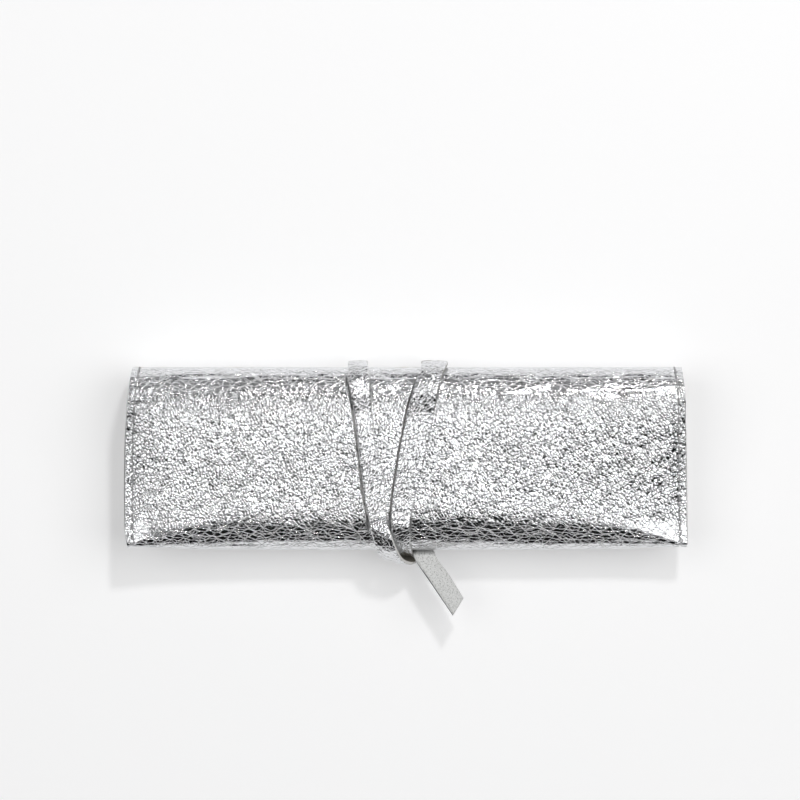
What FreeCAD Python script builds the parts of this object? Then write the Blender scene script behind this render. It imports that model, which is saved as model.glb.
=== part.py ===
import FreeCAD, Part
import math
import os

V = FreeCAD.Vector

# Soft leather eyeglasses case, lying on its flap: the back is up, the spine (the flap's bend) is at +Y, the
# pocket's fold is at -Y, and a flat leather lace is wound twice round the middle.  All lengths in millimetres.

# ---- driving dimensions ------------------------------------------------------------------------------------
LENGTH = 184.4          # along X, edge to edge of the leather
SPINE_Y = 30.07         # outermost point of the spine, measured from the case's own middle line
FOLD_Y_MID = -30.2      # outermost point of the pocket's fold at mid length
FOLD_Y_END = -29.2      # the same at the pinched ends
HEIGHT = 22.0           # top of the back panel at mid length and along the whole spine
T_LEATHER = 1.2
T_LINING = 0.4
SEAM_STACK = 3.3        # back + two linings + front where they are sewn together
FLAP_EDGE_Y = -22.0     # free edge of the flap
POCKET_MOUTH_Y = 18.0   # free edge of the pocket's front
CHANNEL_LIFT = 1.40     # how far the lace pushes the flap up
CHANNEL_X = (-34.0, -24.0, 20.0, 30.0)   # ramp, flat, ramp
LACE_W = 6.4
LACE_T = 1.3
LACE_LOOSE = 0.8        # slack of the lace round the spine
SEAM_IN = 2.4           # stitch line, measured in from the edge
STITCH_PITCH = 3.2
STITCH_LEN = 2.3
STITCH_W = 0.7
TAIL_TUCK = (6.3, -31.3, 11.0)      # where the lace's working end leaves the windings
TAIL_DIR = (0.555, -0.832)
TAIL_LEN = 21.0
SHIFT_Y = 9.563         # puts the bounding box's middle on the Z axis
# stations along X: (x, height of the back panel at the fold, thickness of the pocket)
STATIONS = [
    (-92.2, 20.0, SEAM_STACK), (-88.5, 20.1, SEAM_STACK), (-80.0, 20.5, 8.0), (-66.0, 21.1, 13.0),
    (-45.0, 21.7, 16.6), (-20.0, 22.0, 17.4), (20.0, 22.0, 17.4), (45.0, 21.2, 16.4),
    (66.0, 19.5, 12.4), (80.0, 17.9, 7.4), (88.5, 16.8, SEAM_STACK), (92.2, 16.5, SEAM_STACK),
]
# ---- derived -------------------------------------------------------------------------------------------------
R = HEIGHT / 2.0                    # outer radius of the spine
YC, ZC = SPINE_Y - R, R             # centre of the spine's bend
C45 = math.cos(math.radians(45))
HINGE_R = R + LACE_LOOSE + LACE_T + 0.25
HINGE_A = (YC + HINGE_R * C45, ZC + HINGE_R * C45)      # back panel to spine
HINGE_B = (YC + HINGE_R * C45, ZC - HINGE_R * C45)      # spine to flap
X0, X1 = -LENGTH / 2.0, LENGTH / 2.0
shapes = {}


def put(name, *solids):
    out = []
    for s in solids:
        s = s.copy()
        s.translate(V(0, SHIFT_Y, 0))
        out.append(s)
    shapes[name] = out[0] if len(out) == 1 else Part.makeCompound(out)


def arc(cy, cz, r, a0, a1, x):
    """Arc in the plane X = x, angles in degrees from +Y towards +Z."""
    am = math.radians((a0 + a1) / 2.0)
    p = lambda a: V(x, cy + r * math.cos(a), cz + r * math.sin(a))
    return Part.Arc(p(math.radians(a0)), p(am), p(math.radians(a1))).toShape()


def line(x, a, b):
    return Part.LineSegment(V(x, *a), V(x, *b)).toShape()


def on(cy, cz, r, a):
    a = math.radians(a)
    return (cy + r * math.cos(a), cz + r * math.sin(a))


def loft(wires):
    s = Part.makeLoft(wires, True, True)
    if s.Volume < 0:
        s.reverse()
    return s


def fold_centre(st):
    x, zf, th = st
    k = (th - SEAM_STACK) / (17.4 - SEAM_STACK)
    y_out = FOLD_Y_END + (FOLD_Y_MID - FOLD_Y_END) * k
    r = th / 2.0
    return y_out + r, zf - r, r


def top_z(st, y, down=0.0):
    """Height of the back panel's outer face at y, on one station."""
    cy, cz, r = fold_centre(st)
    return st[1] + (HEIGHT - st[1]) * (y - cy) / (YC - cy) - down


def at_x(x):
    """A station at any x, between the given ones."""
    for a, b in zip(STATIONS, STATIONS[1:]):
        if a[0] <= x <= b[0]:
            k = (x - a[0]) / (b[0] - a[0])
            return (x, a[1] + (b[1] - a[1]) * k, a[2] + (b[2] - a[2]) * k)
    return STATIONS[0] if x < 0 else STATIONS[-1]


# ---- back panel: a plate that curls over the first half of the spine's upper quarter -------------------------
def back_wire(st, d0, d1):
    x = st[0]
    cy, cz, r = fold_centre(st)
    zf = st[1]
    return Part.Wire([
        line(x, (cy, zf - d0), (YC, HEIGHT - d0)),
        arc(YC, ZC, R - d0, 90, 45, x),
        line(x, on(YC, ZC, R - d0, 45), on(YC, ZC, R - d1, 45)),
        arc(YC, ZC, R - d1, 45, 90, x),
        line(x, (YC, HEIGHT - d1), (cy, zf - d1)),
        line(x, (cy, zf - d1), (cy, zf - d0)),
    ])


put("back_panel", loft([back_wire(s, 0, T_LEATHER) for s in STATIONS]))
put("back_lining", loft([back_wire(s, T_LEATHER, T_LEATHER + T_LINING) for s in STATIONS]))


# ---- pocket: fold and front, with one lining that covers both -------------------------------------------------
def fold_wire(st):
    x = st[0]
    cy, cz, r = fold_centre(st)
    return Part.Wire([
        arc(cy, cz, r, 90, 270, x), line(x, on(cy, cz, r, 270), on(cy, cz, r - T_LEATHER, 270)),
        arc(cy, cz, r - T_LEATHER, 270, 90, x), line(x, on(cy, cz, r - T_LEATHER, 90), on(cy, cz, r, 90)),
    ])


def mouth_z(st):
    """Outer face of the pocket's front at its mouth."""
    return top_z(st, POCKET_MOUTH_Y) - st[2]


def front_wire(st, d0, d1):
    x = st[0]
    cy, cz, r = fold_centre(st)
    zb, zm = cz - r, mouth_z(st)
    return Part.makePolygon([
        V(x, cy, zb + d0), V(x, POCKET_MOUTH_Y, zm + d0), V(x, POCKET_MOUTH_Y, zm + d1), V(x, cy, zb + d1),
        V(x, cy, zb + d0)])


def pocket_lining_wire(st):
    x = st[0]
    cy, cz, r = fold_centre(st)
    a, b = T_LEATHER, T_LEATHER + T_LINING
    zb, zm = cz - r, mouth_z(st)
    return Part.Wire([
        arc(cy, cz, r - a, 90, 270, x),
        line(x, (cy, zb + a), (POCKET_MOUTH_Y, zm + a)),
        line(x, (POCKET_MOUTH_Y, zm + a), (POCKET_MOUTH_Y, zm + b)),
        line(x, (POCKET_MOUTH_Y, zm + b), (cy, zb + b)),
        arc(cy, cz, r - b, 270, 90, x),
        line(x, on(cy, cz, r - b, 90), on(cy, cz, r - a, 90)),
    ])


put("pocket_fold", loft([fold_wire(s) for s in STATIONS]))
put("pocket_front", loft([front_wire(s, 0, T_LEATHER) for s in STATIONS]))
put("pocket_lining", loft([pocket_lining_wire(s) for s in STATIONS]))


# ---- spine: the middle quarter of the bend, true cylinders -----------------------------------------------------
def ring(r0, r1, a0, a1, xa, xb):
    w = Part.Wire([
        arc(YC, ZC, r1, a0, a1, xa), line(xa, on(YC, ZC, r1, a1), on(YC, ZC, r0, a1)),
        arc(YC, ZC, r0, a1, a0, xa), line(xa, on(YC, ZC, r0, a0), on(YC, ZC, r1, a0)),
    ])
    return Part.Face(w).extrude(V(xb - xa, 0, 0))


put("spine_leather", ring(R - T_LEATHER, R, -45, 45, X0, X1))
put("spine_lining", ring(R - T_LEATHER - T_LINING, R - T_LEATHER, -45, 45, X0, X1))


# ---- flap: last eighth of the bend and the flat that lies on the table, with a channel where the lace runs ------
def ramp(x):
    a, b, c, d = CHANNEL_X
    if x <= a or x >= d:
        return 0.0
    if x < b:
        return (x - a) / (b - a)
    if x > c:
        return (d - x) / (d - c)
    return 1.0


FLAP_ANGLES = [-45, -54, -63, -72, -81, -90]


def flap_loop(x, d0, d1):
    k = ramp(x)

    def curve(d):
        pts = []
        for a in FLAP_ANGLES:
            y, z = on(YC, ZC, R - d, a)
            lift = k * max(0.0, CHANNEL_LIFT - on(YC, ZC, R, a)[1])
            pts.append((y, z + lift))
        pts.append((FLAP_EDGE_Y, d + CHANNEL_LIFT * k))
        return pts
    lo, hi = curve(d0), curve(d1)
    return [V(x, *p) for p in lo + hi[::-1]]


def skin(loops):
    """Closed solid through loops of equal point counts, with flat triangles between them."""
    faces = []
    for a, b in zip(loops, loops[1:]):
        n = len(a)
        for i in range(n):
            j = (i + 1) % n
            for tri in ((a[i], a[j], b[j]), (a[i], b[j], b[i])):
                faces.append(Part.Face(Part.makePolygon(list(tri) + [tri[0]])))
    for end in (loops[0], loops[-1]):
        faces.append(Part.Face(Part.makePolygon(list(end) + [end[0]])))
    sh = Part.Shell(faces)
    sh.sewShape()
    s = Part.Solid(sh)
    if s.Volume < 0:
        s.reverse()
    return s


FLAP_X = [X0, CHANNEL_X[0], CHANNEL_X[1], CHANNEL_X[2], CHANNEL_X[3], X1]
put("flap_leather", skin([flap_loop(x, 0, T_LEATHER) for x in FLAP_X]))
put("flap_lining", skin([flap_loop(x, T_LEATHER + 0.03, T_LEATHER + T_LINING) for x in FLAP_X]))


# ---- lace ---------------------------------------------------------------------------------------------------
def ribbon(path, width=LACE_W, t=LACE_T, across=None):
    """Flat strip along a path of (x, y, z) points; its width lies along X unless across is given."""
    pts = [V(*p) for p in path]
    loops = []
    for i, p in enumerate(pts):
        a, b = pts[max(0, i - 1)], pts[min(len(pts) - 1, i + 1)]
        d = b - a
        w = V(1, 0, 0) if across is None else V(*across)
        w.normalize()
        flat = V(0, d.y, d.z) if across is None else d
        n = w.cross(flat)
        n.normalize()
        w, n = w * (width / 2.0), n * (t / 2.0)
        loops.append([p + w + n, p - w + n, p - w - n, p + w - n])
    return skin(loops)


def lerp_x(table, y):
    """x from a table of (y, x), y falling."""
    for (ya, xa), (yb, xb) in zip(table, table[1:]):
        if ya >= y >= yb:
            return xa + (xb - xa) * (ya - y) / (ya - yb)
    return table[0][1] if y > table[0][0] else table[-1][1]


LEFT_LINE = [(32.0, -16.0), (7.4, -13.4), (-11.9, -10.5), (-22.0, -9.0)]
RIGHT_LINE = [(32.0, 9.5), (19.4, 5.6), (1.1, 1.7), (-16.2, -1.5), (-22.0, -1.2)]
MID = T = LACE_T / 2.0
CYF, CZF, RF = fold_centre((0.0, 22.0, 17.4))


def over_spine(table, a0, a1, n, off0, off1):
    out = []
    for i in range(n + 1):
        k = i / float(n)
        a = a0 + (a1 - a0) * k
        off = off0 + (off1 - off0) * k
        y, z = on(YC, ZC, R + off + MID, a)
        out.append((lerp_x(table, y), y, z))
    return out


def over_fold(x_of, off_of, a0, a1, n):
    """Round the pocket's fold: a is 0 at the top, 90 outermost, 180 underneath."""
    out = []
    for i in range(n + 1):
        a = a0 + (a1 - a0) * i / float(n)
        y, z = on(CYF, CZF, RF + off_of(a) + MID, 90 + a)
        out.append((x_of(a), y, z))
    return out


def step(a, pts):
    for (a0, v0), (a1, v1) in zip(pts, pts[1:]):
        if a0 <= a <= a1:
            return v0 + (v1 - v0) * (a - a0) / float(a1 - a0)
    return pts[0][1] if a < pts[0][0] else pts[-1][1]


ZT = HEIGHT + 0.1 + MID


def top_run(table, ys):
    return [(lerp_x(table, y), y, ZT) for y in ys]


left_top = over_spine(LEFT_LINE, 47.5, 84, 3, LACE_LOOSE, 0.2) + top_run(LEFT_LINE, [17.0, 7.4, -2.0, -11.9, -19.5])
left_front = over_fold(lambda a: step(a, [(0, -9.1), (90, -3.8), (150, 0.6)]),
                       lambda a: step(a, [(0, 0.1), (30, 1.4), (60, 3.1), (90, 3.3), (150, 3.1)]), 10, 150, 9)
put("lace_winding_left", ribbon(left_top + left_front))
right_top = over_spine(RIGHT_LINE, 47.5, 84, 3, LACE_LOOSE, 0.2) + top_run(RIGHT_LINE, [17.0, 8.0, 1.1, -8.0, -16.2])
right_front = over_fold(lambda a: step(a, [(0, -1.0), (60, -0.9), (90, -1.0), (150, -0.4)]),
                        lambda a: step(a, [(0, 0.1), (30, 0.1), (75, 1.55), (150, 1.55)]), 4, 150, 9)
put("lace_winding_right", ribbon(right_top + right_front))
riser = over_fold(lambda a: step(a, [(95, 6.0), (150, 0.6)]), lambda a: 0.1, 104, 150, 5)
put("lace_riser", ribbon(riser))

r0, r1 = R + LACE_LOOSE, R + LACE_LOOSE + LACE_T


def spine_lace(table):
    xa = lerp_x(table, YC + (R + 1.5) * C45)
    return ring(r0, r1, -45, 45, xa - LACE_W / 2.0, xa + LACE_W / 2.0)


put("lace_spine_left", spine_lace(LEFT_LINE))
put("lace_spine_right", spine_lace(RIGHT_LINE))

# underneath: both windings cross the flap in its channel and end at the front
Z_UNDER = 0.02 + MID


def under(x_spine, x_front, y_end):
    out = []
    start = on(YC, ZC, R + LACE_LOOSE + MID, -48)
    out.append((x_spine, start[0], start[1]))
    for a, lift in ((-56, 0.12), (-66, 0.52), (-78, 1.2)):
        y, z = on(YC, ZC, R + LACE_LOOSE + MID, a)
        out.append((x_spine, y, max(z + lift, Z_UNDER)))
    for k in (0.0, 0.5, 1.0):
        y = 16.0 + (y_end - 16.0) * k
        out.append((x_spine + (x_front - x_spine) * k, y, Z_UNDER))
    return out


xl = lerp_x(LEFT_LINE, YC + (R + 1.5) * C45)
xr = lerp_x(RIGHT_LINE, YC + (R + 1.5) * C45)
put("lace_under_left", ribbon(under(xl, -2.6, -24.6)))
put("lace_under_right", ribbon(under(xr, 4.4, -24.6)))
# the fixed end is sewn to the inside of the flap's free edge
Z_IN = T_LEATHER + T_LINING + CHANNEL_LIFT + 0.02
put("lace_fixed_end", ribbon([(0.4, -11.0, Z_IN + MID), (0.4, -17.0, Z_IN + MID), (0.4, -24.8, Z_IN + MID)]))
put("fixed_end_stitches", *[
    Part.makeBox(3.6, STITCH_W, 0.5, V(0.4 - 1.8, y, Z_IN + LACE_T - 0.3)) for y in (-20.6, -13.4)])

# the working end: free tail, flesh side up
tx, ty, tz = TAIL_TUCK
dx, dy = TAIL_DIR
cross_dir = (dy, -dx, 0.0)


def tail_point(s, z):
    return V(tx + dx * s, ty + dy * s, z)


def tail_loop(s_left, s_right, z):
    """One cross-cut of the tail; s_left and s_right are how far along each edge it lies."""
    w = V(-dy, dx, 0) * (LACE_W / 2.0)
    a, b = tail_point(s_left, z) - w, tail_point(s_right, z) + w
    up = V(0, 0, LACE_T / 2.0)
    return [a + up, b + up, b - up, a - up]


put("lace_tail", skin([
    tail_loop(-1.42, 2.86, tz), tail_loop(5.0, 6.4, tz + 0.7), tail_loop(13.0, 12.5, tz + 1.6),
    tail_loop(TAIL_LEN + 0.9, TAIL_LEN - 4.2, tz + 2.0)]))


# ---- stitches: groups of separate short solids, half sunk in the leather ---------------------------------------
def stitch_top(x, y, z_of, up=0.25, sink=0.15):
    """Stitch along Y on a sloping face."""
    ya, yb = y - STITCH_LEN / 2.0, y + STITCH_LEN / 2.0
    za, zb = z_of(ya), z_of(yb)
    w = Part.makePolygon([V(x, ya, za - sink), V(x, yb, zb - sink), V(x, yb, zb + up), V(x, ya, za + up), V(x, ya, za - sink)])
    f = Part.Face(w)
    f.translate(V(-STITCH_W / 2.0, 0, 0))
    return f.extrude(V(STITCH_W, 0, 0))


def stitch_arc(x, a_mid, r, out, sink=0.15):
    half = math.degrees(STITCH_LEN / 2.0 / R)
    return ring(r - sink, r + out, a_mid - half, a_mid + half, x - STITCH_W / 2.0, x + STITCH_W / 2.0)


for side, name in ((-1, "left"), (1, "right")):
    x = side * (LENGTH / 2.0 - SEAM_IN)
    st = at_x(x)
    top = [stitch_top(x, -24.6 + STITCH_PITCH * i, lambda y: top_z(st, y)) for i in range(14)]
    bottom = [stitch_top(x, -24.6 + STITCH_PITCH * i, lambda y: top_z(st, y) - st[2], 0.15, 0.25) for i in range(13)]
    curl = [stitch_arc(x, a, R, 0.25) for a in (82.0, 65.3)]
    put("seam_thread_" + name, *(top + bottom + curl))
    put("spine_thread_" + name, *[stitch_arc(x, a, R, 0.25) for a in (33.4, 16.7, 0.0, -16.7, -33.4)])
    low = lambda y: 0.0
    flat = [stitch_top(x, 17.0 - STITCH_PITCH * i, low, 0.02, -0.42) for i in range(12)]
    put("flap_thread_" + name, *(flat + [stitch_arc(x, a, R, 0.0, 0.4) for a in (-56.0, -72.5)]))

os.makedirs("parts", exist_ok=True)
box = None
for name, s in shapes.items():
    b = s.BoundBox
    if box is None:
        box = FreeCAD.BoundBox(b)
    else:
        box.add(b)
    print("%-20s valid=%s solids=%d vol=%.1f  x %.2f..%.2f y %.2f..%.2f z %.2f..%.2f" % (
        name, s.isValid(), len(s.Solids), s.Volume, b.XMin, b.XMax, b.YMin, b.YMax, b.ZMin, b.ZMax))
    s.exportStep("parts/%s.step" % name)
print("box x %.3f..%.3f y %.3f..%.3f z %.3f..%.3f" % (box.XMin, box.XMax, box.YMin, box.YMax, box.ZMin, box.ZMax))
print("hinge A y %.3f z %.3f, hinge B y %.3f z %.3f" % (HINGE_A[0] + SHIFT_Y, HINGE_A[1], HINGE_B[0] + SHIFT_Y, HINGE_B[1]))
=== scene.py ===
import math

import bpy
import numpy as np
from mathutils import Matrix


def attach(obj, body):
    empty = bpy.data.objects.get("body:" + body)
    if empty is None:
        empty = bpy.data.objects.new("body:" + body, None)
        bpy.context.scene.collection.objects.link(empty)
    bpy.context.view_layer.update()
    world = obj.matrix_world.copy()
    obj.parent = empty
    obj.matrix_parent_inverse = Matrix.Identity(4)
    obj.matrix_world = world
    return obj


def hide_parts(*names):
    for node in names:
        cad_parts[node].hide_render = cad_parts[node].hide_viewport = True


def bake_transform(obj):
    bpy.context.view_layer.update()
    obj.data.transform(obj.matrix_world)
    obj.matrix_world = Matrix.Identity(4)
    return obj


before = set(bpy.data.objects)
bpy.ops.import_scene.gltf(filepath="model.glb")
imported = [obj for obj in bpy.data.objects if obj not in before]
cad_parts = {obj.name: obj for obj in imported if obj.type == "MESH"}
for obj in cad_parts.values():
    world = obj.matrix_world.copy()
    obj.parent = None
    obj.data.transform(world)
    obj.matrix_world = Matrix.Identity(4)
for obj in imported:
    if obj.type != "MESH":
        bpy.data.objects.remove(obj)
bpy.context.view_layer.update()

# Everything below is worked out in millimetres in the case's own middle frame (x along the length, y towards the
# spine, z up) and moved by SHIFT into the row frame when a mesh is made.
SHIFT = np.array([0.0, 9.563, 0.0])
R, YC, ZC, TOP = 11.0, 19.07, 11.0, 22.0
HALF = 92.2
SEAM_TH = 3.3
MOUTH_Y, FLAP_Y = 18.0, -22.0
LEATHER, LINING = 1.2, 1.6
LIFT = 1.40


# ---------------------------------------------------------------- small numeric helpers
def lut(table):
    t = sorted(table)
    xs, ys = np.array([p[0] for p in t], float), np.array([p[1] for p in t], float)
    return lambda v: np.interp(v, xs, ys)


def smooth(t):
    t = np.clip(t, 0, 1)
    return t * t * (3 - 2 * t)


def noise(x, y, seed):
    """Smooth value noise with unit cells, from -1 to 1, repeating every 256 cells."""
    g = np.random.default_rng(seed).uniform(-1, 1, (256, 256))
    xi, yi = np.floor(x).astype(int), np.floor(y).astype(int)
    u, v = x - xi, y - yi
    u, v = u * u * u * (u * (u * 6 - 15) + 10), v * v * v * (v * (v * 6 - 15) + 10)
    a, b = g[xi % 256, yi % 256], g[(xi + 1) % 256, yi % 256]
    c, d = g[xi % 256, (yi + 1) % 256], g[(xi + 1) % 256, (yi + 1) % 256]
    return (a * (1 - u) + b * u) * (1 - v) + (c * (1 - u) + d * u) * v


def cells(x, y, seed, jitter=0.85):
    """Nearest two distances to jittered points on a unit grid, and the nearest point's own offset and tilt."""
    rng = np.random.default_rng(seed)
    jx, jy = rng.uniform(-jitter / 2, jitter / 2, (2, 256, 256))
    tx, ty = rng.normal(0, 1, (2, 256, 256))
    hh = rng.uniform(-1, 1, (256, 256))
    xi, yi = np.floor(x).astype(int), np.floor(y).astype(int)
    f1 = np.full(x.shape, 9.0)
    f2 = np.full(x.shape, 9.0)
    ox, oy, gx, gy, hg = (np.zeros(x.shape) for _ in range(5))
    for dx in (-2, -1, 0, 1, 2):
        for dy in (-2, -1, 0, 1, 2):
            a, b = (xi + dx) % 256, (yi + dy) % 256
            px, py = xi + dx + 0.5 + jx[a, b], yi + dy + 0.5 + jy[a, b]
            d = np.hypot(x - px, y - py)
            near = d < f1
            f2 = np.where(near, f1, np.minimum(f2, d))
            f1 = np.where(near, d, f1)
            ox, oy = np.where(near, x - px, ox), np.where(near, y - py, oy)
            gx, gy, hg = np.where(near, tx[a, b], gx), np.where(near, ty[a, b], gy), np.where(near, hh[a, b], hg)
    return f1, f2, ox, oy, gx, gy, hg


CELL = 3.1


def pebbles(wx, ws, seed):
    """One layer of grain swellings: depth below the skin in mm, on coordinates in cells."""
    f1, f2, ox, oy, gx, gy, hg = cells(wx, ws, seed + 1)
    e = f2 - f1
    return 0.07 * (f1 / 0.6) ** 2 + 0.03 * np.exp(-(e / 0.34) ** 2) - 0.05 * (gx * ox + gy * oy) * smooth(e / 0.5) + 0.02 * (1 - hg)


def grain(x, s, pull=None, amp=1.0, seed=0):
    """Swellings of the hide, each two or three pebbles wide: how far below the leather's skin each point lies, in mm,
    and how far the hide is stretched there, 0 to 1. x and s are the point's place on the flat hide. Where pull is 1
    it goes round a bend, and the swellings are long and shallow along x."""
    wx = x / CELL + 0.25 * noise(x / 3.5, s / 3.5, seed + 11) + 0.5 * noise(x / 15.0, s / 15.0, seed + 12)
    ws = s / CELL + 0.25 * noise(x / 3.5, s / 3.5, seed + 13) + 0.5 * noise(x / 15.0, s / 15.0, seed + 14)
    down = pebbles(0.82 * wx + 0.50 * ws, 1.06 * ws - 0.42 * wx, seed)
    if pull is None:
        return np.maximum(down, -0.06) * amp, np.zeros(np.shape(down))
    d2 = pebbles(x / 5.5 + 7.7 + 0.5 * noise(x / 12.0, s / 12.0, seed + 15), s / 1.9 + 3.1, seed + 40)
    down = down * (1 - pull) + 0.75 * d2 * pull
    return np.maximum(down, -0.06) * amp, np.broadcast_to(pull, np.shape(down)).copy()


# ---------------------------------------------------------------- the case's shape
def zf(x):
    """Height of the back panel where it turns into the pocket's fold."""
    u = np.abs(x) / HALF
    return np.where(x < 0, TOP - 2.0 * u ** 2.6, TOP - 5.5 * u ** 2.6)


def th(x):
    """Thickness of the pocket, sewn flat at both ends."""
    u = np.clip(np.abs(x) / 89.0, 0, 1)
    return SEAM_TH + (17.4 - SEAM_TH) * (1 - u ** 3.2) ** 0.75


def fold_of(x):
    """The pocket's fold is a long slope that turns down quickly at its outer end, over a quarter ellipse: centre y and
    z, the upper height, how far it reaches out, and the lower height."""
    k = (th(x) - SEAM_TH) / (17.4 - SEAM_TH)
    up = th(x) * (0.5 + 0.05 * smooth(k))
    out = th(x) / 2 * (1 + 0.60 * smooth(k))
    return -29.2 - 1.0 * smooth(k) + out, zf(x) - up, up, out, th(x) - up


XL = lut([(-28.3, -91.5), (-24.3, -92.1), (-10.3, -92.2), (5.4, -92.0), (16.5, -91.4), (25.0, -90.6), (30.0, -90.0)])
XR = lut([(-28.6, 92.2), (0.0, 91.7), (19.1, 91.3), (30.2, 90.4)])


def lumps(x, y):
    """Slow unevenness of the stuffed back panel, with slanting wrinkles towards the right end's seam."""
    slant = noise((0.8 * x + 0.6 * y) / 7.5, (0.8 * y - 0.6 * x) / 2.6, 74) * smooth((x - 66.0) / 14.0) * smooth((12.0 - y) / 16.0)
    return (0.26 * slant + 0.32 * noise(x / 23.0 + 3.3, y / 17.0 + 1.7, 71) + 0.16 * noise(x / 9.0, y / 8.0, 72)
            + 0.06 * noise(x / 4.2, y / 3.6, 73))


def end_drop(x, t):
    """The stuffed middle pulls the sewn ends down."""
    left = 1.9 * np.clip((-x - 79.0) / 13.2, 0, 1) ** 1.5
    right = 1.9 * np.clip((x - 74.0) / 18.2, 0, 1) ** 1.9
    return (left + right) * np.sin(np.pi * np.clip(t, 0, 1)) ** 0.8


def panel_z(x, t):
    """Back panel from the fold (t = 0) to the spine (t = 1)."""
    z0 = zf(x)
    z = z0 + (TOP - z0) * smooth(t)
    z = z - end_drop(x, t)
    z = z + 0.55 * np.sin(np.pi * t) * (1 - np.clip(np.abs(x) / 90.0, 0, 1) ** 2) - 0.35 * np.sin(np.pi * t)
    return z


NF, NP, NS = 100, 160, 61        # rows over the fold, the panel and the upper half of the spine


def back_column(x):
    """Points (y, z) from under the fold, over it, along the back and half way round the spine."""
    cy, cz, up, out, under = fold_of(x)
    a = np.radians(np.linspace(270, 90, NF, endpoint=False))
    power = np.where(np.sin(a) > 0, 2 / 1.7, 1.0)
    y0 = cy - out * np.abs(np.cos(a)) ** power
    z0 = cz + np.where(np.sin(a) > 0, up, -under) * np.abs(np.sin(a)) ** power
    t = np.linspace(0, 1, NP, endpoint=False)
    y1 = cy + (YC - cy) * t
    z1 = panel_z(x, t)
    a = np.radians(np.linspace(90, 0, NS))
    y2, z2 = YC + R * np.cos(a), ZC + R * np.sin(a)
    return np.concatenate([y0, y1, y2]), np.concatenate([z0, z1, z2])


def grid_normals(P):
    du = np.gradient(P, axis=0)
    dv = np.gradient(P, axis=1)
    n = np.cross(dv, du)
    return n / np.maximum(np.linalg.norm(n, axis=2, keepdims=True), 1e-9)


def arc_length(P):
    """Distance along each column, from its last row back to its first."""
    d = np.linalg.norm(np.diff(P, axis=0), axis=2)
    back = np.cumsum(d[::-1], axis=0)[::-1]
    return np.concatenate([back, np.zeros((1, P.shape[1]))])


# ---------------------------------------------------------------- mesh making
def mesh_object(name, verts, faces, mats, mat_index, uv=None, crease=None, smooth_shade=True):
    verts = (np.asarray(verts, float) + SHIFT) / 1000.0
    me = bpy.data.meshes.new(name)
    faces = [np.asarray(f) for f in faces]
    nv, loops = len(verts), np.concatenate([f.reshape(-1) for f in faces])
    sizes = np.concatenate([np.full(len(f), f.shape[1]) for f in faces])
    me.vertices.add(nv)
    me.vertices.foreach_set("co", verts.reshape(-1).astype(np.float32))
    me.loops.add(len(loops))
    me.loops.foreach_set("vertex_index", loops.astype(np.int32))
    me.polygons.add(len(sizes))
    me.polygons.foreach_set("loop_start", np.concatenate([[0], np.cumsum(sizes)[:-1]]).astype(np.int32))
    me.polygons.foreach_set("material_index", np.asarray(mat_index, np.int32))
    me.polygons.foreach_set("use_smooth", np.full(len(sizes), smooth_shade))
    if uv is not None:
        layer = me.uv_layers.new(name="hide")
        layer.data.foreach_set("uv", (np.asarray(uv, float)[loops] / 100.0).reshape(-1).astype(np.float32))
    at = me.attributes.new("stretch", "FLOAT", "POINT")
    at.data.foreach_set("value", (np.zeros(nv) if crease is None else np.asarray(crease)).astype(np.float32))
    me.update()
    me.validate()
    o = bpy.data.objects.new(name, me)
    bpy.context.scene.collection.objects.link(o)
    for m in mats:
        me.materials.append(m)
    return o


def quads(rows, cols, base=0, flip=False):
    i = np.arange(rows - 1)[:, None] * cols + np.arange(cols - 1)[None, :] + base
    q = np.stack([i, i + 1, i + cols + 1, i + cols], axis=2).reshape(-1, 4)
    return q[:, ::-1] if flip else q


def shell(name, P, N, outer, depth, mats, uv, crease, step=4):
    """Closed leather sheet: the fine outer skin P - N*outer, a coarser inner skin depth below P, and a raw rim.
    P is rows x columns x 3; rows - 1 and columns - 1 are multiples of step. mats: outer, rim, inner."""
    rows, cols = P.shape[:2]
    skin = P - N * outer[..., None]
    ri, ci = np.arange(0, rows, step), np.arange(0, cols, step)
    inner = (P - N * depth)[np.ix_(ri, ci)]
    nr, nc = len(ri), len(ci)
    V = np.concatenate([skin.reshape(-1, 3), inner.reshape(-1, 3)])
    base = rows * cols
    out_q, in_q = quads(rows, cols), quads(nr, nc, base, flip=True)
    # rim: walk the border once on both skins
    fine = ([(0, c) for c in range(cols)] + [(r, cols - 1) for r in range(1, rows)]
            + [(rows - 1, c) for c in range(cols - 2, -1, -1)] + [(r, 0) for r in range(rows - 2, 0, -1)])
    coarse = [p for p in fine if p[0] % step == 0 and p[1] % step == 0
              and (p[0] in (0, rows - 1) or p[1] in (0, cols - 1))]
    fi = [r * cols + c for r, c in fine]
    co = [base + (r // step) * nc + c // step for r, c in coarse]
    tri = []
    nf, ncr = len(fi), len(co)
    for j in range(ncr):
        a, b = co[j], co[(j + 1) % ncr]
        f = [fi[(j * step + k) % nf] for k in range(step + 1)]
        h = step // 2
        for k in range(h):
            tri.append((f[k + 1], f[k], a))
        tri.append((f[h], a, b))
        for k in range(h, step):
            tri.append((f[k + 1], f[k], b))
    tri = np.array(tri)
    idx = np.concatenate([np.zeros(len(out_q)), np.full(len(in_q), 2), np.full(len(tri), 1)])
    uvs = np.concatenate([uv.reshape(-1, 2), uv[np.ix_(ri, ci)].reshape(-1, 2)])
    cr = np.concatenate([crease.reshape(-1), np.zeros(nr * nc)])
    return mesh_object(name, V, [out_q, in_q, tri], mats, idx, uvs, cr)


# ---------------------------------------------------------------- materials
def nodes_of(name):
    m = bpy.data.materials.new(name)
    m.use_nodes = True
    nt = m.node_tree
    nt.nodes.clear()
    out = nt.nodes.new("ShaderNodeOutputMaterial")
    b = nt.nodes.new("ShaderNodeBsdfPrincipled")
    nt.links.new(b.outputs[0], out.inputs[0])
    return m, nt, b


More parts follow.
